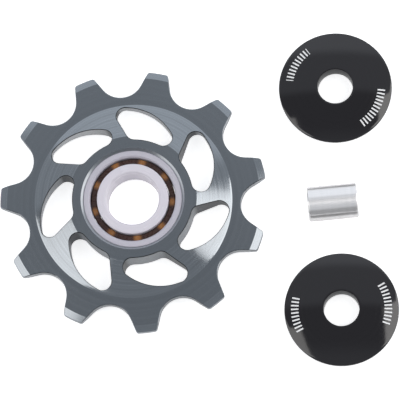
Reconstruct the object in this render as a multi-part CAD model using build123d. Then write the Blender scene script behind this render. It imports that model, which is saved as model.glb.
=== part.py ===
from build123d import *
import math
import os

# Jockey wheel of a rear derailleur, taken apart: the toothed wheel lies flat with its ball bearing
# in place, and its two caps and its sleeve lie beside it on the same surface.
# The origin is the bearing's centre, +Z is the wheel's axis, and all sizes are in millimetres.

# Teeth, cut for a bicycle chain
tooth_count = 11
chain_pitch = 12.7
roller_seat_radius = 3.97
flank_angle = 33.5
tip_height = 0.61
tip_corner_radius = 0.5
first_gap_angle = 30.72
ring_thickness = 1.86
tip_thickness = 1.04
tip_bevel_width = 1.25

# Flat ring under the teeth, and the coned web with its swept windows
ring_width = 1.67
ring_cove_radius = 1.0
window_count = 7
window_hub_bite = 0.6
window_ring_margin = 0.26
window_corner_radius = 1.55
window_bow_radius = 9.42
window_nose_angle = 4.4
window_heel_angle = 29.0
window_toe_angle = 35.9
first_window_angle = 8.5

# Hub and the seat of the bearing
hub_wall = 2.56
bearing_recess = 0.3
seat_chamfer = 0.45
seat_lip_depth = 0.5
seat_clearance = 0.01
edge_break = 0.1

# Ball bearing
bearing_bore = 9.0
bearing_width = 5.0
inner_ring_wall = 1.68
race_gap = 1.19
outer_ring_wall = 1.13
inner_ring_bore_chamfer = 0.3
inner_ring_rim_chamfer = 0.12
outer_ring_bore_chamfer = 0.28
outer_ring_rim_chamfer = 0.15
ball_count = 9
ball_diameter = 2.0
ball_clearance = 0.02
groove_conformity = 1.04
first_ball_angle = 37.0

# Crown cage of the balls
cage_ring_clearance = 0.12
cage_face_depth = 1.0
cage_mouth_depth = 0.6
pocket_clearance = 0.06
cage_notch_radius = 0.75
cage_edge_break = 0.12

# Caps, each with a boss for the bearing's bore
cap_diameter = 19.6
cap_boss_length = 1.5
cap_boss_clearance = 0.02
cap_boss_chamfer = 0.25
cap_shoulder_margin = 0.48
cap_hub_clearance = 0.05
cap_rim_thickness = 0.5
cap_crown_rise = 0.95
cap_edge_break = 0.12

# Sleeve that carries the bolt
sleeve_diameter = 6.0
sleeve_bore = 5.1
sleeve_chamfer = 0.3
sleeve_clearance = 0.05

# Places of the loose pieces on the surface, seen from above
front_cap_place = (34.87, 20.14)
rear_cap_place = (35.76, -19.10)
sleeve_place = (34.36, -0.45)
sleeve_turn = 4.94

# Sizes that follow from the ones above
pitch_radius = chain_pitch / 2 / math.sin(math.pi / tooth_count)
tip_radius = pitch_radius + tip_height
ring_inner_radius = pitch_radius - roller_seat_radius - ring_width
inner_race_radius = bearing_bore / 2 + inner_ring_wall
outer_race_radius = inner_race_radius + race_gap
bearing_radius = outer_race_radius + outer_ring_wall
ball_circle_radius = (inner_race_radius + outer_race_radius) / 2
ball_spacing = 360 / ball_count
groove_radius = groove_conformity * ball_diameter / 2
seat_radius = bearing_radius + seat_clearance
hub_face_radius = seat_radius + hub_wall
hub_thickness = bearing_width + 2 * bearing_recess
floor_z = -hub_thickness / 2
cap_shoulder_radius = inner_race_radius - cap_shoulder_margin
cap_shoulder_height = bearing_recess + cap_hub_clearance
cap_flange_height = cap_shoulder_height + cap_rim_thickness + cap_crown_rise
sleeve_length = bearing_width + 2 * cap_flange_height


def polar(radius, angle):
    """A point of the plan at a radius and an angle in degrees."""
    return radius * math.cos(math.radians(angle)), radius * math.sin(math.radians(angle))


def turned(outline, finishes=()):
    """Revolve a half section drawn as (radius, height), once some of its corners are broken."""
    section = make_face(outline)
    for tool, size, corners in finishes:
        chosen = [section.vertices().sort_by_distance((*corner, 0))[0] for corner in corners]
        section = tool(chosen, size)
    return revolve(Plane.XZ * section, axis=Axis.Z)


def flank():
    """Foot of a gap's straight flank, where its roller seat ends, and the flank's direction."""
    slope = math.radians(flank_angle)
    foot = Vector(
        pitch_radius - roller_seat_radius * math.sin(slope), roller_seat_radius * math.cos(slope)
    )
    return foot, Vector(math.cos(slope), math.sin(slope))


def flank_length():
    """Length of the straight flank, from the end of the roller seat to the circle of the tips."""
    foot, direction = flank()
    along = foot.dot(direction)
    return math.sqrt(tip_radius ** 2 - foot.length ** 2 + along ** 2) - along


def tooth_gap():
    """Plan of one gap between teeth: a roller seat with straight flanks, open past the tips."""
    foot, direction = flank()
    mouth = foot + direction * (flank_length() + tip_bevel_width)
    seat = ThreePointArc(
        (foot.X, foot.Y), (pitch_radius - roller_seat_radius, 0), (foot.X, -foot.Y)
    )
    sides = Polyline((foot.X, -foot.Y), (mouth.X, -mouth.Y), (mouth.X, mouth.Y), (foot.X, foot.Y))
    return make_face([seat, sides])


def tooth_outline():
    """Plan of the toothed wheel. The rounding of its tips is limited by the straight flank."""
    gap = tooth_gap()
    turns = PolarLocations(0, tooth_count, start_angle=first_gap_angle)
    outline = Circle(tip_radius) - [turn * gap for turn in turns]
    tips = [v for v in outline.vertices() if math.isclose(math.hypot(v.X, v.Y), tip_radius)]
    return fillet(tips, min(tip_corner_radius, flank_length()))


def window():
    """Plan of one window: a bowed leaf that sweeps outwards, as a round cutter leaves it."""
    path_radius = hub_face_radius - window_hub_bite + window_corner_radius
    toe_radius = ring_inner_radius - window_ring_margin - window_corner_radius
    nose = polar(path_radius, window_nose_angle)
    heel = polar(path_radius, window_heel_angle)
    toe = polar(toe_radius, window_toe_angle)
    path = [
        RadiusArc(nose, toe, -(window_bow_radius - window_corner_radius)),
        Line(toe, heel),
        RadiusArc(heel, nose, path_radius),
    ]
    return offset(make_face(path), window_corner_radius, kind=Kind.ARC)


def toothed_wheel():
    """One turned and milled piece: hub with the bearing seat, coned web with windows, flat tooth ring."""
    lip_radius = seat_radius - seat_lip_depth
    hub = hub_thickness / 2
    seat_floor = -bearing_width / 2
    ring = ring_thickness / 2
    tip = tip_thickness / 2
    bevel_radius = tip_radius - tip_bevel_width
    section = Polyline(
        (lip_radius, -hub), (hub_face_radius, -hub), (ring_inner_radius, -ring), (bevel_radius, -ring),
        (tip_radius, -tip), (tip_radius, tip), (bevel_radius, ring), (ring_inner_radius, ring),
        (hub_face_radius, hub), (seat_radius + seat_chamfer, hub), (seat_radius, hub - seat_chamfer),
        (seat_radius, seat_floor), (lip_radius, seat_floor), close=True,
    )
    blank = turned(section, [
        (fillet, ring_cove_radius, [(ring_inner_radius, ring), (ring_inner_radius, -ring)]),
        (fillet, edge_break, [(hub_face_radius, hub), (hub_face_radius, -hub)]),
    ])
    teeth = extrude(tooth_outline(), hub, both=True)
    plate = blank & teeth
    plate = chamfer(new_edges(blank, teeth, combined=plate), edge_break)
    cutter = extrude(window(), hub, both=True)
    turns = PolarLocations(0, window_count, start_angle=first_window_angle)
    windows = [turn * cutter for turn in turns]
    wheel = plate - windows
    return chamfer(new_edges(plate, *windows, combined=wheel), edge_break)


def bearing_ring(bore_radius, bore_chamfer, rim_radius, rim_chamfer, groove_centre):
    """A ring of the bearing, chamfered at its bore and at its rim, with a groove for the balls."""
    half = bearing_width / 2
    bore_edges = [(bore_radius, -half), (bore_radius, half)]
    rim_edges = [(rim_radius, half), (rim_radius, -half)]
    ring = turned(
        Polyline(bore_edges + rim_edges, close=True),
        [(chamfer, bore_chamfer, bore_edges), (chamfer, rim_chamfer, rim_edges)],
    )
    return ring - Torus(groove_centre, groove_radius)


def bearing_outer_ring():
    """Ring that turns with the wheel."""
    groove_centre = ball_circle_radius + ball_diameter / 2 + ball_clearance - groove_radius
    return bearing_ring(
        outer_race_radius, outer_ring_bore_chamfer, bearing_radius, outer_ring_rim_chamfer,
        groove_centre,
    )


def bearing_inner_ring():
    """Ring that stays still on the bosses of the caps."""
    groove_centre = ball_circle_radius - ball_diameter / 2 - ball_clearance + groove_radius
    return bearing_ring(
        bearing_bore / 2, inner_ring_bore_chamfer, inner_race_radius, inner_ring_rim_chamfer,
        groove_centre,
    )


def ball_cage():
    """Crown cage: closed on the upper side, with a snap-in pocket for each ball and prongs between."""
    inner_radius = inner_race_radius + cage_ring_clearance
    outer_radius = outer_race_radius - cage_ring_clearance
    top = bearing_width / 2 - cage_face_depth
    section = Polyline(
        (inner_radius, -cage_mouth_depth), (outer_radius, -cage_mouth_depth),
        (outer_radius, top), (inner_radius, top), close=True,
    )
    cage = turned(section, [(chamfer, cage_edge_break, [(inner_radius, top), (outer_radius, top)])])
    pocket_radius = ball_diameter / 2 + pocket_clearance
    outwards = Rot(0, 90, 0)
    pocket = outwards * Pos(0, 0, outer_radius) * Cylinder(pocket_radius, outer_radius)
    mouth = Pos(cage_mouth_depth, 0, outer_radius)
    notch = outwards * mouth * Cylinder(cage_notch_radius, outer_radius)
    for number in range(ball_count):
        angle = first_ball_angle + ball_spacing * number
        cage -= Rot(0, 0, angle) * pocket
        cage -= Rot(0, 0, angle + ball_spacing / 2) * notch
    return cage


def ball(number):
    """One ball on the ball circle."""
    place = polar(ball_circle_radius, first_ball_angle + ball_spacing * number)
    return Pos(*place) * Sphere(ball_diameter / 2)


def cap():
    """A cap that stands on its boss: shoulder for the inner ring, thin flange, domed crown."""
    bore = sleeve_diameter / 2 + sleeve_clearance
    boss = bearing_bore / 2 - cap_boss_clearance
    rim = cap_diameter / 2
    under = cap_boss_length + cap_shoulder_height
    rim_top = under + cap_rim_thickness
    crown_top = rim_top + cap_crown_rise
    dome_depth = (rim ** 2 - bore ** 2 + cap_crown_rise ** 2) / (2 * cap_crown_rise)
    dome_radius = math.hypot(bore, dome_depth)
    base = Polyline(
        (bore, crown_top), (bore, 0), (boss, 0), (boss, cap_boss_length),
        (cap_shoulder_radius, cap_boss_length), (cap_shoulder_radius, under), (rim, under), (rim, rim_top),
    )
    dome = RadiusArc((rim, rim_top), (bore, crown_top), -dome_radius)
    return turned([base, dome], [
        (chamfer, cap_edge_break, [(bore, crown_top), (bore, 0), (rim, rim_top), (rim, under)]),
        (chamfer, cap_boss_chamfer, [(boss, 0)]),
    ])


def axle_sleeve():
    """Plain tube along X, chamfered at both ends."""
    tube = Cylinder(sleeve_diameter / 2, sleeve_length) - Cylinder(sleeve_bore / 2, sleeve_length)
    rims = tube.edges().filter_by(GeomType.CIRCLE)
    outer_rims = [e for e in rims if math.isclose(e.radius, sleeve_diameter / 2)]
    return Rot(0, 90, 0) * chamfer(outer_rims, sleeve_chamfer)


sleeve_z = floor_z + sleeve_diameter / 2
pieces = {
    "toothed_wheel": toothed_wheel(),
    "bearing_outer_ring": bearing_outer_ring(),
    "bearing_inner_ring": bearing_inner_ring(),
    "ball_cage": ball_cage(),
    "front_cap": Pos(*front_cap_place, floor_z) * cap(),
    "rear_cap": Pos(*rear_cap_place, floor_z) * cap(),
    "axle_sleeve": Pos(*sleeve_place, sleeve_z) * Rot(0, 0, sleeve_turn) * axle_sleeve(),
}
for number in range(ball_count):
    pieces[f"ball_{number + 1}"] = ball(number)

for name, piece in pieces.items():
    export_step(piece, f"parts/{name}.step")
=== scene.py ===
import bmesh
import bpy
import math
from mathutils import Euler, Matrix, Vector


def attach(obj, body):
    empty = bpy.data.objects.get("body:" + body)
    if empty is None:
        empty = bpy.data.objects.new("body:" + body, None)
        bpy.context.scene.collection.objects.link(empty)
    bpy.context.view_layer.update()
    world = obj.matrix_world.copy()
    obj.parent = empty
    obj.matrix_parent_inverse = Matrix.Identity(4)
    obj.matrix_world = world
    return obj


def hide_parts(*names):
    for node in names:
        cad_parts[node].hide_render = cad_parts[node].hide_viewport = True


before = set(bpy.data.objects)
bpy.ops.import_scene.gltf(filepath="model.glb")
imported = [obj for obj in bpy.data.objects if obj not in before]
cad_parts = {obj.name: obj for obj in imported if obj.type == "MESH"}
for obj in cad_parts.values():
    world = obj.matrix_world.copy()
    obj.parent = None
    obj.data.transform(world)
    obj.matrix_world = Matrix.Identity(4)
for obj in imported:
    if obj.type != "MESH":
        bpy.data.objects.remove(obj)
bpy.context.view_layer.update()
mm = 0.001


# Toothed wheel: one piece of aluminium, turned to a coned web between a flat hub and a flat tooth
# ring, milled out to seven windows and eleven teeth, and anodised slate grey.
# The finish shows the rings of the turning tool, so light spreads across them. The edge breaks, the
# bearing seat and the milled walls are tinted with painted shade, painted light and painted
# reflection.

seat_rim_radius = 9.0 * mm
hub_radius = 11.1 * mm
hub_top = 2.8 * mm
web_slope = math.tan(math.radians(17.5))
cove_start = 16.747 * mm
cove_end = 17.06 * mm
ring_top = 0.93 * mm
merge_distance = 0.0005 * mm
wheel_mark_depth = 0.0003 * mm

# The web's lip is a little crisper and steeper than the solid's cove.
web_rise = 0.10 * mm
lip_start = 16.80 * mm
lip_end = 17.10 * mm
lip_height = 0.15 * mm

faced_slate = (0.268, 0.288, 0.309)
turned_slate = (0.301, 0.322, 0.343)
# Painted shade: the edge breaks are tinted near black, as a dark line along the edges.
edge_painted_shade = (0.022, 0.024, 0.027)
# Painted light: the bearing seat is tinted paler, against the shade in its narrow groove.
seat_painted_light = (0.450, 0.475, 0.500)
# Painted shade and painted reflection on the milled walls, from shaded to lit and to the pale rim
# side.
shaded_wall = (0.048, 0.049, 0.052)
lit_wall = (0.450, 0.470, 0.500)
rim_reflection_colour = (0.68, 0.69, 0.71)
least_light = 0.15
tooth_light = 0.8
grain_scale = 2500.0
roughness_spread = 0.03

# How pale a milled wall is, as painted reflection and painted shade, goes by how far it faces
# outwards, from -1 to 1, and by its depth below a face. The walls that face out stand on the hub's
# side, and those that face in on the rim's.
hub_side_facing = (0.45, 0.95)
hub_side_depth = (0.05 * mm, 0.9 * mm)
rim_side_facing = (-0.95, -0.6)
rim_side_depth = (0.10 * mm, 0.35 * mm)
milled_roughness = (0.18, 0.28)
feed_mark_scale = 1800.0
feed_mark_depth = 0.0008 * mm


def feed(tree, socket, value):
    """Link a socket or a plain value to an input."""
    if isinstance(value, bpy.types.NodeSocket):
        tree.links.new(value, socket)
    else:
        socket.default_value = value


def add(tree, kind, inputs=(), **settings):
    """Add a shader node with its settings and its inputs, given by name or number."""
    node = tree.nodes.new("ShaderNode" + kind)
    for name, value in settings.items():
        setattr(node, name, value)
    for key, value in dict(inputs).items():
        feed(tree, node.inputs[key], value)
    return node


def calc(tree, operation, *values):
    """Output of a Math node."""
    return add(tree, "Math", enumerate(values), operation=operation).outputs[0]


def remap(tree, value, start, end, low=0.0, high=1.0):
    """Ease a value between start and end into low to high."""
    node = add(tree, "MapRange", {
        "Value": value, "From Min": start, "From Max": end, "To Min": low, "To Max": high,
    }, interpolation_type="SMOOTHSTEP")
    return node.outputs["Result"]


def vary(tree, tone, low, high):
    """Take a value from low to high with a noise tone, which lies mostly between 0.2 and 0.8."""
    return remap(tree, tone, 0.2, 0.8, low, high)


def shade(tree, mask, dark, light):
    """Colour between dark and light by a mask. Each of them is a socket or a plain colour."""
    ends = [end if isinstance(end, bpy.types.NodeSocket) else (*end, 1) for end in (dark, light)]
    return add(tree, "Mix", {0: mask, 6: ends[0], 7: ends[1]}, data_type="RGBA").outputs[2]


def speckle(tree, position, scale, detail):
    """Soft noise from 0 to 1. Scale is about how many specks lie along a metre."""
    return add(tree, "TexNoise", {"Vector": position, "Scale": scale, "Detail": detail}).outputs[0]


def new_material(name):
    """An empty material and its node tree."""
    material = bpy.data.materials.new(name)
    material.use_nodes = True
    material.node_tree.nodes.clear()
    return material, material.node_tree


def surface(tree, inputs):
    """Finish a material with its Principled shader."""
    shader = add(tree, "BsdfPrincipled", inputs)
    output = add(tree, "OutputMaterial")
    tree.links.new(shader.outputs[0], output.inputs["Surface"])


def place_in(tree, centre=(0, 0, 0), turn=(0, 0, 0)):
    """Object coordinates seen from a piece's own centre."""
    position = add(tree, "TexCoord").outputs["Object"]
    moved = add(tree, "Mapping", {
        "Vector": position, "Location": centre, "Rotation": turn,
    }, vector_type="TEXTURE")
    return moved.outputs[0]


def around_axis(tree, position):
    """A position's X, Y and Z, its vector out from the Z axis and its distance from that axis."""
    parts = add(tree, "SeparateXYZ", {0: position}).outputs
    outward = add(tree, "CombineXYZ", {0: parts[0], 1: parts[1]}).outputs[0]
    radius = add(tree, "VectorMath", {0: outward}, operation="LENGTH").outputs["Value"]
    return parts, outward, radius


def turning_group():
    """Rings that a lathe tool leaves around Z: a groove height and a tone, both from 0 to 1."""
    height_share = 0.6
    group = bpy.data.node_groups.new("turning_rings", "ShaderNodeTree")
    for name, kind in (("Position", "Vector"), ("Pitch", "Float"), ("Band", "Float")):
        group.interface.new_socket(name, in_out="INPUT", socket_type="NodeSocket" + kind)
    for name in ("Height", "Tone"):
        group.interface.new_socket(name, in_out="OUTPUT", socket_type="NodeSocketFloat")
    given = group.nodes.new("NodeGroupInput").outputs
    result = group.nodes.new("NodeGroupOutput").inputs
    parts, _, radius = around_axis(group, given["Position"])
    travel = calc(group, "MULTIPLY_ADD", parts[2], height_share, radius)
    for name, width, detail in (("Height", given["Pitch"], 1.0), ("Tone", given["Band"], 3.0)):
        step = calc(group, "DIVIDE", travel, width)
        noise = add(group, "TexNoise", {"W": step, "Scale": 1.0, "Detail": detail},
                    noise_dimensions="1D")
        feed(group, result[name], noise.outputs[0])
    return group


turning_rings = turning_group()


def lathe(tree, position, pitch, band, depth):
    """Tone and normal of turning rings around Z, by the widths of their grooves and tones."""
    marks = add(tree, "Group", node_tree=turning_rings)
    feed(tree, marks.inputs["Position"], position)
    feed(tree, marks.inputs["Pitch"], pitch)
    feed(tree, marks.inputs["Band"], band)
    bump = add(tree, "Bump", {"Height": marks.outputs["Height"], "Distance": depth})
    return marks.outputs["Tone"], bump.outputs[0]


def spread_along(tree, direction):
    """The way in which tool marks spread the light, as a direction that turns with the piece."""
    turned = add(tree, "VectorTransform", {0: direction}, convert_from="OBJECT", convert_to="WORLD")
    return add(tree, "VectorMath", {0: turned.outputs[0]}, operation="NORMALIZE").outputs[0]


def finish_piece(mesh, name, material, body, slot, *nodes, sharp=30.0):
    """Shade a mesh smooth between its sharp edges and let it stand for its CAD nodes."""
    if material:
        mesh.materials.append(material)
    mesh.shade_smooth()
    mesh.set_sharp_from_angle(angle=math.radians(sharp))
    piece = bpy.data.objects.new(name, mesh)
    bpy.context.scene.collection.objects.link(piece)
    weighted = piece.modifiers.new("even_faces", "WEIGHTED_NORMAL")
    weighted.keep_sharp = True
    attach(piece, body)
    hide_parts(*nodes)
    return piece


def merged_copy(node, name):
    """A copy of a CAD node's mesh with its loose triangles joined."""
    bm = bmesh.new()
    bm.from_mesh(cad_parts[node].data)
    bmesh.ops.remove_doubles(bm, verts=bm.verts, dist=merge_distance)
    mesh = bpy.data.meshes.new(name)
    bm.to_mesh(mesh)
    bm.free()
    if "custom_normal" in mesh.attributes:
        mesh.attributes.remove(mesh.attributes["custom_normal"])
    return mesh


def anodised(name, tint, contrast, grain_share, pitch, band, roughness, anisotropy):
    """Anodised aluminium: rings of the turning tool, mixed with a share of fine grain."""
    material, tree = new_material(name)
    position = place_in(tree)
    tone, normal = lathe(tree, position, pitch, band, wheel_mark_depth)
    grain = speckle(tree, position, grain_scale, 2.0)
    mixed = calc(tree, "ADD", calc(tree, "MULTIPLY", grain, grain_share),
                 calc(tree, "MULTIPLY", tone, 1.0 - grain_share))
    dark = [part * (1.0 - contrast) for part in tint]
    light = [part * (1.0 + contrast) for part in tint]
    surface(tree, {
        "Base Color": shade(tree, mixed, dark, light), "Metallic": 1.0,
        "Roughness": vary(tree, mixed, roughness - roughness_spread, roughness + roughness_spread),
        "Anisotropic": anisotropy, "Normal": normal,
        "Tangent": spread_along(tree, around_axis(tree, position)[1]),
    })
    return material


def depth_below_face(tree, radius, height):
    """How deep a point of a wall lies below the nearer face of the web or the ring."""
    along_web = calc(tree, "SUBTRACT", radius, hub_radius)
    web_top = calc(tree, "MULTIPLY_ADD", along_web, -web_slope, hub_top)
    wall_top = calc(tree, "MAXIMUM", web_top, ring_top)
    return calc(tree, "SUBTRACT", wall_top, calc(tree, "ABSOLUTE", height))


def milled():
    """The cutter's walls in the windows and between the teeth.

    Their colour is painted shade and painted reflection. They are darker towards both faces and
    along the spokes, and palest where they face the hub, between the teeth and below the face on
    the rim's side.
    """
    material, tree = new_material("slate_milled_painted_light")
    position = place_in(tree)
    parts, _, radius = around_axis(tree, position)
    depth = depth_below_face(tree, radius, parts[2])
    facing = add(tree, "Attribute", attribute_name="facing_out").outputs["Fac"]
    hub_side = calc(tree, "MULTIPLY", remap(tree, facing, *hub_side_facing, least_light, 1.0),
                    remap(tree, depth, *hub_side_depth, least_light, 1.0))
    tooth_side = calc(tree, "MULTIPLY", calc(tree, "GREATER_THAN", radius, cove_end), tooth_light)
    wall = shade(tree, calc(tree, "MAXIMUM", hub_side, tooth_side), shaded_wall, lit_wall)
    # Painted reflection: the rim side's walls turn pale a little below the face.
    rim_side = calc(tree, "MULTIPLY", remap(tree, facing, *rim_side_facing, 1.0, 0.0),
                    remap(tree, depth, *rim_side_depth))
    painted_reflection_mask = calc(tree, "MULTIPLY", rim_side, calc(tree, "LESS_THAN", radius, cove_end))
    feed_marks = speckle(tree, position, feed_mark_scale, 3.0)
    bump = add(tree, "Bump", {"Height": feed_marks, "Distance": feed_mark_depth}).outputs[0]
    surface(tree, {
        "Base Color": shade(tree, painted_reflection_mask, wall, rim_reflection_colour), "Metallic": 1.0,
        "Roughness": vary(tree, feed_marks, *milled_roughness), "Normal": bump,
    })
    return material


def mark_walls(mesh):
    """Note at each corner how far its walls face outwards, from -1 to 1."""
    most_lean = 0.3
    sums = [0.0] * len(mesh.vertices)
    counts = [0] * len(mesh.vertices)
    for face in mesh.polygons:
        if abs(face.normal.z) > most_lean:
            continue
        outward = Vector((face.center.x, face.center.y, 0)).normalized()
        for corner in face.vertices:
            sums[corner] += face.normal.dot(outward)
            counts[corner] += 1
    marks = mesh.attributes.new("facing_out", "FLOAT", "POINT")
    for corner, count in enumerate(counts):
        marks.data[corner].value = sums[corner] / max(count, 1)


def crisp_lip(mesh):
    """Raise the web to a crisp steeper lip where it meets the flat ring."""
    lowest = ring_top - 0.001 * mm
    for vertex in mesh.vertices:
        radius = math.hypot(vertex.co.x, vertex.co.y)
        height = abs(vertex.co.z)
        if radius < hub_radius or radius > cove_end or height < lowest:
            continue
        if radius < cove_start:
            height += web_rise * (radius - hub_radius) / (cove_start - hub_radius)
            reach = radius
        else:
            along = (radius - cove_start) / (cove_end - cove_start)
            height = ring_top + lip_height * (1 - along)
            reach = lip_start + (lip_end - lip_start) * along
        vertex.co.x *= reach / radius
        vertex.co.y *= reach / radius
        vertex.co.z = math.copysign(height, vertex.co.z)
    mesh.update()


# Tint, contrast, share of grain, widths of the rings' grooves and tones, roughness, anisotropy.
wheel_finishes = {
    "faced": anodised("slate_faced", faced_slate, 0.10, 0.3, 0.15 * mm, 1.1 * mm, 0.19, 0.6),
    "turned": anodised("slate_turned", turned_slate, 0.24, 0.1, 0.16 * mm, 0.3 * mm, 0.165, 0.95),
    # Painted shade: near-black edge breaks.
    "edge": anodised("painted_shade_edge", edge_painted_shade, 0.15, 0.5, 0.20 * mm, 0.8 * mm, 0.30, 0.0),
    "wall": milled(),
    # Painted light: a paler seat against the shade of its groove.
    "seat": anodised("painted_light_seat", seat_painted_light, 0.10, 0.3, 0.15 * mm, 0.5 * mm, 0.32, 0.3),
}
finish_order = list(wheel_finishes)
slope_limits = [math.cos(math.radians(slope)) for slope in (7, 24, 70)]


def finish_of(face):
    """Name of a face's finish. Away from the seat and the lip it goes by how steep the face is."""
    radius = math.hypot(face.center.x, face.center.y)
    by_slope = finish_order[sum(abs(face.normal.z) < limit for limit in slope_limits)]
    if radius < seat_rim_radius:
        return "seat"
    if by_slope == "edge" and radius > cove_start:
        return "turned"
    return by_slope


wheel_mesh = merged_copy("toothed_wheel", "toothed_wheel_dressed")
crisp_lip(wheel_mesh)
mark_walls(wheel_mesh)
wheel_mesh.materials.clear()
for finish in wheel_finishes.values():
    wheel_mesh.materials.append(finish)
for face in wheel_mesh.polygons:
    face.material_index = finish_order.index(finish_of(face))
finish_piece(wheel_mesh, "toothed_wheel_dressed", None, "wheel", "anodised_wheel", "toothed_wheel",
             sharp=17.5)


# Ball bearing rings: white ceramic, ground on all sides, with polished grooves for the balls. The
# outer ring is pressed into the hub and turns with the wheel. The inner ring stays still, and its
# bore wall is tinted paler, as painted light against the shade in the bore.

bearing_width = 5.0 * mm
bearing_bore_radius = 4.5 * mm
inner_race_radius = 6.18 * mm
outer_race_radius = 7.37 * mm
bearing_radius = 8.5 * mm
ball_circle_radius = 6.775 * mm
ball_radius = 1.0 * mm
groove_radius = 1.04 * mm
groove_offset = 0.02 * mm
inner_bore_chamfer = 0.3 * mm
inner_rim_chamfer = 0.12 * mm
outer_bore_chamfer = 0.28 * mm
outer_rim_chamfer = 0.08 * mm
ring_edge = 0.04 * mm
bore_light_margin = 0.1 * mm
lathe_steps = 144
groove_steps = 16

grinding_marks = (0.12 * mm, 0.6 * mm, 0.0006 * mm)
cloud_scale = 350.0
cloud_shade = 0.93
cloud_roughness = 0.08

# Colour and roughness of each ceramic surface.
outer_ceramic = ((0.52, 0.50, 0.56), 0.3)
inner_ceramic = ((0.70, 0.665, 0.725), 0.22)
# Painted light: the bore wall is tinted paler than the faces, against the shade in the bore.
bore_painted_light = ((0.90, 0.86, 0.92), 0.15)


def draw(bm, points, last=None):
    """Join (radius, height) points into a line of edges. Returns its first and last vertex."""
    line = [bm.verts.new((radius, 0, height)) for radius, height in points]
    if last:
        line.insert(0, last)
    for start, end in zip(line, line[1:]):
        bm.edges.new((start, end))
    return line[0], line[-1]


def swing(bm, vertex, centre, degrees, steps):
    """Sweep a vertex round a centre in the section's plane. Returns the arc's last vertex."""
    swept = bmesh.ops.spin(bm, geom=[vertex], cent=(centre[0], 0, centre[1]), axis=(0, 1, 0),
                           angle=math.radians(degrees), steps=steps)
    return swept["geom_last"][0]


def spin_section(bm, edge_size):
    """Turn a closed section round Z and round its sharp edges."""
    sharp_angle = math.radians(35)
    bmesh.ops.spin(bm, geom=bm.verts[:] + bm.edges[:], cent=(0, 0, 0), axis=(0, 0, 1),
                   angle=math.tau, steps=lathe_steps, use_merge=True)
    bmesh.ops.remove_doubles(bm, verts=bm.verts, dist=merge_distance)
    bmesh.ops.recalc_face_normals(bm, faces=bm.faces)
    sharp = [edge for edge in bm.edges if edge.calc_face_angle(0) > sharp_angle]
    bmesh.ops.bevel(bm, geom=sharp, offset=edge_size, segments=3, profile=0.5, affect="EDGES",
                    material=-1)


def to_mesh(bm, name, place=Matrix.Identity(4)):
    """Move a finished bmesh to its place and make it a mesh."""
    bmesh.ops.transform(bm, matrix=place, verts=bm.verts)
    mesh = bpy.data.meshes.new(name)
    bm.to_mesh(mesh)
    bm.free()
    return mesh


def bearing_ring(name, face_radius, face_chamfer, race_radius, race_chamfer, side):
    """A chamfered ring with a groove for the balls. Side is 1 where the groove opens inwards."""
    half = bearing_width / 2
    groove_centre = ball_circle_radius + side * (ball_radius + groove_offset - groove_radius)
    reach = abs(race_radius - groove_centre)
    spread = math.acos(reach / groove_radius)
    height = groove_radius * math.sin(spread)
    face_land = face_radius - side * face_chamfer
    race_land = race_radius + side * race_chamfer
    bm = bmesh.new()
    first, edge = draw(bm, [
        (face_radius, face_chamfer - half), (face_land, -half), (race_land, -half),
        (race_radius, race_chamfer - half), (race_radius, -height),
    ])
    top = swing(bm, edge, (groove_centre, 0), -side * math.degrees(2 * spread), groove_steps)
    last = draw(bm, [
        (race_radius, half - race_chamfer), (race_land, half), (face_land, half),
        (face_radius, half - face_chamfer),
    ], top)[1]
    bm.edges.new((last, first))
    spin_section(bm, ring_edge)
    return to_mesh(bm, name)


def white_ceramic(name, tint, roughness):
    """Ground ceramic: faint grinding rings and a soft clouding."""
    material, tree = new_material(name)
    position = place_in(tree)
    tone, normal = lathe(tree, position, *grinding_marks)
    cloud = speckle(tree, position, cloud_scale, 2.0)
    mask = calc(tree, "MULTIPLY_ADD", cloud, 0.5, calc(tree, "MULTIPLY", tone, 0.5))
    surface(tree, {
        "Base Color": shade(tree, mask, [cloud_shade * part for part in tint], tint),
        "Roughness": vary(tree, mask, roughness, roughness + cloud_roughness), "Normal": normal,
    })
    return material


outer_ring = bearing_ring("outer_ring_dressed", bearing_radius, outer_rim_chamfer,
                          outer_race_radius, outer_bore_chamfer, 1)
finish_piece(outer_ring, "outer_ring_dressed", white_ceramic("outer_ceramic", *outer_ceramic),
             "wheel", "bearing_rings", "bearing_outer_ring")
inner_ring = bearing_ring("inner_ring_dressed", bearing_bore_radius, inner_bore_chamfer,
                          inner_race_radius, inner_rim_chamfer, -1)
inner_ring.materials.append(white_ceramic("inner_ceramic", *inner_ceramic))
inner_ring.materials.append(white_ceramic("painted_light_bore_ceramic", *bore_painted_light))
# The bore's faces take the paler tint, which is painted light.
for face in inner_ring.polygons:
    in_bore = math.hypot(face.center.x, face.center.y) < bearing_bore_radius + bore_light_margin
    face.material_index = int(in_bore)
finish_piece(inner_ring, "inner_ring_dressed", None, "axle_side", "bearing_rings",
             "bearing_inner_ring")


# Balls and their cage: nine white balls, snapped into the pockets of a dark brown plastic crown.
# The plastic is thin over the balls, and each glows through it as an amber spot.

ball_count = 9
first_ball_angle = math.radians(37.0)
ball_spacing = math.tau / ball_count

# The amber spots run across the plastic, fade out between two distances and are a little uneven.
glow_start = 0.35 * mm
glow_end = 1.15 * mm
glow_unevenness = 0.4 * mm
glow_squeeze = 0.3
ball_ceramic = ((0.86, 0.86, 0.87), 0.08)
dark_brown = (0.048, 0.019, 0.014)
amber = (0.34, 0.145, 0.042)
plastic_roughness = (0.22, 0.34)
plastic_cloud_scale = 2200.0

balls = bmesh.new()
for number in range(ball_count):
    turn = Matrix.Rotation(first_ball_angle + number * ball_spacing, 4, "Z")
    place = turn @ Matrix.Translation((ball_circle_radius, 0, 0))
    bmesh.ops.create_uvsphere(balls, u_segments=32, v_segments=20, radius=ball_radius, matrix=place)
finish_piece(to_mesh(balls, "balls_dressed"), "balls_dressed",
             white_ceramic("ball_ceramic", *ball_ceramic), "cage", "bearing_balls",
             *[f"ball_{number + 1}" for number in range(ball_count)])


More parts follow.
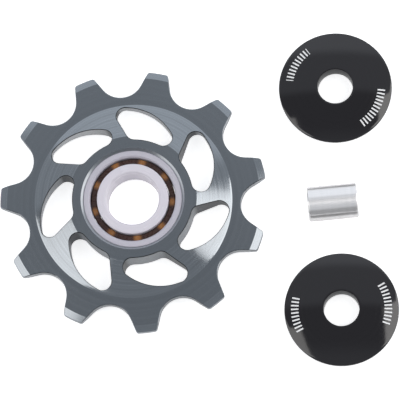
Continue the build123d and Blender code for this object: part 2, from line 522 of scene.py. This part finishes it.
def brown_plastic():
    """Translucent brown plastic with an amber spot over each ball."""
    material, tree = new_material("brown_plastic")
    position = place_in(tree)
    parts, _, radius = around_axis(tree, position)
    angle = calc(tree, "ARCTAN2", parts[1], parts[0])
    from_ball = calc(tree, "SUBTRACT", angle, first_ball_angle)
    near_ball = calc(tree, "WRAP", from_ball, ball_spacing / 2, -ball_spacing / 2)
    along = calc(tree, "MULTIPLY", near_ball, ball_circle_radius)
    beside = calc(tree, "SUBTRACT", radius, ball_circle_radius)
    across = calc(tree, "MULTIPLY", beside, glow_squeeze)
    offset = add(tree, "CombineXYZ", {0: along, 1: across}).outputs[0]
    distance = add(tree, "VectorMath", {0: offset}, operation="LENGTH").outputs["Value"]
    cloud = speckle(tree, position, plastic_cloud_scale, 2.0)
    uneven = calc(tree, "MULTIPLY_ADD", cloud, glow_unevenness, distance)
    glow = remap(tree, uneven, glow_start, glow_end, 1.0, 0.0)
    surface(tree, {
        "Base Color": shade(tree, glow, dark_brown, amber),
        "Roughness": vary(tree, cloud, *plastic_roughness),
    })
    return material


finish_piece(merged_copy("ball_cage", "cage_dressed"), "cage_dressed", brown_plastic(), "cage",
             "cage_plastic", "ball_cage")


# Caps: two alike, turned from aluminium and anodised gloss black, with a boss for the bearing's
# bore under a shallow dome. They lie on their bosses. Two arcs of plain white index ticks are
# etched near the rim of each.

cap_bore_radius = 3.05 * mm
cap_boss_radius = 4.48 * mm
cap_shoulder_radius = 5.7 * mm
cap_rim_radius = 9.8 * mm
cap_boss_top = 1.5 * mm
cap_under = 1.85 * mm
cap_rim_top = 2.35 * mm
cap_crown = 3.3 * mm
cap_edge = 0.12 * mm
dome_steps = 18
tick_radius = 8.0 * mm
tick_reach = 0.65 * mm
tick_half = 0.13 * mm
tick_step = math.radians(4.5)
floor_z = -2.8 * mm

cap_marks = (0.1 * mm, 0.45 * mm, 0.0004 * mm)
deep_black = (0.0025, 0.001, 0.0025)
soft_black = (0.0045, 0.003, 0.0045)
tick_white = (0.82, 0.82, 0.82)
tick_roughness = 0.4
black_roughness = (0.05, 0.08)
black_ior = 1.66


def cap_mesh(name, centre):
    """A cap turned in one go: boss, shoulder, thin rim and dome."""
    drop = (cap_rim_radius ** 2 - cap_bore_radius ** 2 + (cap_crown - cap_rim_top) ** 2) / (
        2 * (cap_crown - cap_rim_top))
    dome_centre = cap_crown - drop
    rim_lean = math.degrees(math.atan2(cap_rim_radius, cap_rim_top - dome_centre))
    bore_lean = math.degrees(math.atan2(cap_bore_radius, drop))
    bm = bmesh.new()
    first, edge = draw(bm, [
        (cap_bore_radius, 0), (cap_boss_radius, 0), (cap_boss_radius, cap_boss_top),
        (cap_shoulder_radius, cap_boss_top), (cap_shoulder_radius, cap_under),
        (cap_rim_radius, cap_under), (cap_rim_radius, cap_rim_top),
    ])
    crown = swing(bm, edge, (0, dome_centre), bore_lean - rim_lean, dome_steps)
    bm.edges.new((crown, first))
    spin_section(bm, cap_edge)
    return to_mesh(bm, name, Matrix.Translation((*centre, floor_z)))


def ticks(tree, parts, radius, tick_arcs):
    """Mask of the index ticks. Each arc of ticks is given by its first and last angle."""
    angle = calc(tree, "ARCTAN2", parts[1], parts[0])
    from_tick = calc(tree, "WRAP", angle, tick_step / 2, -tick_step / 2)
    beside = calc(tree, "ABSOLUTE", calc(tree, "MULTIPLY", from_tick, radius))
    tick = calc(tree, "LESS_THAN", beside, tick_half)
    in_height = calc(tree, "COMPARE", radius, tick_radius, tick_reach)
    in_arc = 0.0
    for first, last in tick_arcs:
        middle = math.radians((first + last) / 2)
        half = math.radians((last - first) / 2)
        from_middle = calc(tree, "WRAP", calc(tree, "SUBTRACT", angle, middle), math.pi, -math.pi)
        inside = calc(tree, "LESS_THAN", calc(tree, "ABSOLUTE", from_middle), half)
        in_arc = calc(tree, "MAXIMUM", in_arc, inside)
    upper = calc(tree, "GREATER_THAN", parts[2], floor_z + cap_rim_top)
    return calc(tree, "MULTIPLY", calc(tree, "MULTIPLY", tick, in_height),
                calc(tree, "MULTIPLY", in_arc, upper))


def black_anodised(name, centre, tick_arcs):
    """Gloss black anodised aluminium with matt white ticks."""
    material, tree = new_material(name)
    position = place_in(tree, (*centre, 0))
    tone, normal = lathe(tree, position, *cap_marks)
    parts, _, radius = around_axis(tree, position)
    marked = ticks(tree, parts, radius, tick_arcs)
    black = shade(tree, tone, deep_black, soft_black)
    gloss = vary(tree, tone, *black_roughness)
    surface(tree, {
        "Base Color": shade(tree, marked, black, tick_white), "IOR": black_ior, "Normal": normal,
        "Roughness": calc(tree, "MULTIPLY_ADD", marked, tick_roughness, gloss),
    })
    return material


caps = (
    ("front_cap", (34.87 * mm, 20.14 * mm), ((126, 171), (-55, -2))),
    ("rear_cap", (35.76 * mm, -19.10 * mm), ((163, 208.5), (-19, 33))),
)
for node, centre, tick_arcs in caps:
    finish = black_anodised(f"{node}_black", centre, tick_arcs)
    dressed = f"{node}_dressed"
    finish_piece(cap_mesh(dressed, centre), dressed, finish, "axle_side", "anodised_caps", node)


# Sleeve: a polished aluminium tube, cut to length and chamfered at both ends. It goes through both
# caps and the bearing and carries the bolt, and here it lies beside them.
# The fine rings of the polishing spread the light along the tube.

sleeve_radius = 3.0 * mm
sleeve_bore_radius = 2.55 * mm
sleeve_length = 8.6 * mm
sleeve_chamfer = 0.2 * mm
sleeve_edge = 0.03 * mm
sleeve_centre = (34.36 * mm, -0.45 * mm, floor_z + sleeve_radius)
sleeve_turn = math.radians(4.94)
sleeve_axis = (math.cos(sleeve_turn), math.sin(sleeve_turn), 0)

sleeve_marks = (0.07 * mm, 0.35 * mm, 0.0003 * mm)
dull_silver = (0.86, 0.845, 0.845)
bright_silver = (0.95, 0.93, 0.93)
polish_roughness = (0.24, 0.265)

sleeve_place = (Matrix.Translation(sleeve_centre) @ Matrix.Rotation(sleeve_turn, 4, "Z")
                @ Matrix.Rotation(math.pi / 2, 4, "Y"))
sleeve_end = sleeve_length / 2
sleeve_land = sleeve_radius - sleeve_chamfer
tube = bmesh.new()
tube_first, tube_last = draw(tube, [
    (sleeve_bore_radius, -sleeve_end), (sleeve_land, -sleeve_end),
    (sleeve_radius, sleeve_chamfer - sleeve_end), (sleeve_radius, sleeve_end - sleeve_chamfer),
    (sleeve_land, sleeve_end), (sleeve_bore_radius, sleeve_end),
])
tube.edges.new((tube_last, tube_first))
spin_section(tube, sleeve_edge)
sleeve_mesh = to_mesh(tube, "sleeve_dressed", sleeve_place)


def polished_metal():
    """Polished aluminium with fine rings round the tube."""
    material, tree = new_material("polished_metal")
    position = place_in(tree, sleeve_centre, (0, math.pi / 2, sleeve_turn))
    tone, normal = lathe(tree, position, *sleeve_marks)
    surface(tree, {
        "Base Color": shade(tree, tone, dull_silver, bright_silver), "Metallic": 0.7,
        "Roughness": vary(tree, tone, *polish_roughness), "Normal": normal,
        "Anisotropic": 0.85, "Tangent": spread_along(tree, sleeve_axis),
    })
    return material


finish_piece(sleeve_mesh, "sleeve_dressed", polished_metal(), "axle_side", "polished_sleeve",
             "axle_sleeve")


# Table, light and camera: the pieces lie on a plain white table between two upright softboxes, in a
# room that is brightest in the middle of the back, and dim overhead and in front.
# The camera stands where the photographer's did.

table_half = 2.0
table_colour = 0.85
white_for_camera = 0.7
white_in_mirrors = 0.10


def white_table():
    """White table that shows the pieces' soft shadow."""
    material, tree = new_material("white_table")
    path = add(tree, "LightPath").outputs
    mirrored = calc(tree, "MAXIMUM", path["Is Glossy Ray"], path["Is Transmission Ray"])
    direct = calc(tree, "MULTIPLY", path["Is Camera Ray"], white_for_camera)
    paint = add(tree, "BsdfDiffuse", {"Color": (table_colour, table_colour, table_colour, 1)})
    glow = add(tree, "Emission", {
        "Strength": calc(tree, "MULTIPLY_ADD", mirrored, white_in_mirrors, direct),
    })
    both = add(tree, "AddShader", {0: paint.outputs[0], 1: glow.outputs[0]})
    output = add(tree, "OutputMaterial")
    tree.links.new(both.outputs[0], output.inputs["Surface"])
    return material


table_bm = bmesh.new()
bmesh.ops.create_grid(table_bm, x_segments=1, y_segments=1, size=table_half)
table_mesh = to_mesh(table_bm, "table", Matrix.Translation((0, 0, floor_z)))
table_mesh.materials.append(white_table())
table = bpy.data.objects.new("table", table_mesh)
bpy.context.scene.collection.objects.link(table)


# Steps in the room's brightness, by the tilt from straight up towards the back, in degrees: where a
# step starts, where it ends, and how much brighter the room gets. The last step, the back light,
# fades out between two angles aside.
room_front = 0.15
room_steps = ((-60, -50, 0.28), (-12, -2, -0.12), (11, 15.5, 0.22))
back_light = (29, 34, 0.35)
back_light_edge = (42, 50)
room_tint = (0.94, 1.0, 1.08)


def brighter(tree, tilt, start, end, rise):
    """A soft step in brightness between two tilts."""
    return remap(tree, tilt, math.radians(start), math.radians(end), 0.0, rise)


def room_light():
    """White behind the pieces for the camera, and a soft uneven room for everything else."""
    world = bpy.data.worlds.new("room")
    bpy.context.scene.world = world
    world.use_nodes = True
    tree = world.node_tree
    tree.nodes.clear()
    direction = add(tree, "TexCoord").outputs["Generated"]
    parts = add(tree, "SeparateXYZ", {0: direction}).outputs
    tilt = calc(tree, "ARCTAN2", parts[1], parts[2])
    level = room_front
    for step in room_steps:
        level = calc(tree, "ADD", level, brighter(tree, tilt, *step))
    aside = calc(tree, "ABSOLUTE", calc(tree, "ARCTAN2", parts[0], parts[1]))
    inner, outer = [math.radians(edge) for edge in back_light_edge]
    in_middle = remap(tree, aside, inner, outer, 1.0, 0.0)
    level = calc(tree, "MULTIPLY_ADD", brighter(tree, tilt, *back_light), in_middle, level)
    room = add(tree, "VectorMath", {0: room_tint, "Scale": level}, operation="SCALE").outputs[0]
    camera_ray = add(tree, "LightPath").outputs["Is Camera Ray"]
    background = add(tree, "Background", {"Color": shade(tree, camera_ray, room, (1, 1, 1))})
    output = add(tree, "OutputWorld")
    tree.links.new(background.outputs[0], output.inputs["Surface"])


room_light()


# The softboxes are dimmer near the table, so that they don't glare in the flat faces seen from the
# side. Each part of one is given by azimuth, bottom, top and radiance.
softbox_distance = 0.42
softbox_width = 0.42
softbox_colour = (1.0, 0.98, 0.955)
softboxes = (
    ("softbox_right", 2.5, 0.15, 1.17, 2.32), ("softbox_right_low", 2.5, 0.02, 0.15, 1.2),
    ("softbox_left", 200.5, 0.15, 1.42, 1.72), ("softbox_left_low", 200.5, 0.02, 0.15, 1.1),
)
for name, azimuth, bottom, top, radiance in softboxes:
    lamp = bpy.data.lights.new(name, "AREA")
    lamp.shape = "RECTANGLE"
    lamp.size = softbox_width
    lamp.size_y = top - bottom
    lamp.energy = radiance * math.pi * softbox_width * (top - bottom)
    lamp.color = softbox_colour
    softbox = bpy.data.objects.new(name, lamp)
    turn = math.radians(azimuth)
    away = Vector((math.cos(turn), math.sin(turn), 0))
    softbox.location = away * softbox_distance
    softbox.location.z = floor_z + (bottom + top) / 2
    softbox.rotation_euler = away.to_track_quat("Z", "Y").to_euler()
    softbox.visible_camera = False
    bpy.context.scene.collection.objects.link(softbox)


lens = bpy.data.cameras.new("camera")
lens.lens = 298.0
lens.sensor_width = 36.0
lens.clip_start = 0.05
lens.clip_end = 10.0
camera = bpy.data.objects.new("camera", lens)
camera.location = (0.04779, -0.13011, 0.55499)
camera.rotation_euler = Euler([math.radians(part) for part in (13.207, 3.681, 0.276)])
bpy.context.scene.collection.objects.link(camera)
bpy.context.scene.camera = camera
bpy.context.scene.view_settings.view_transform = "Standard"
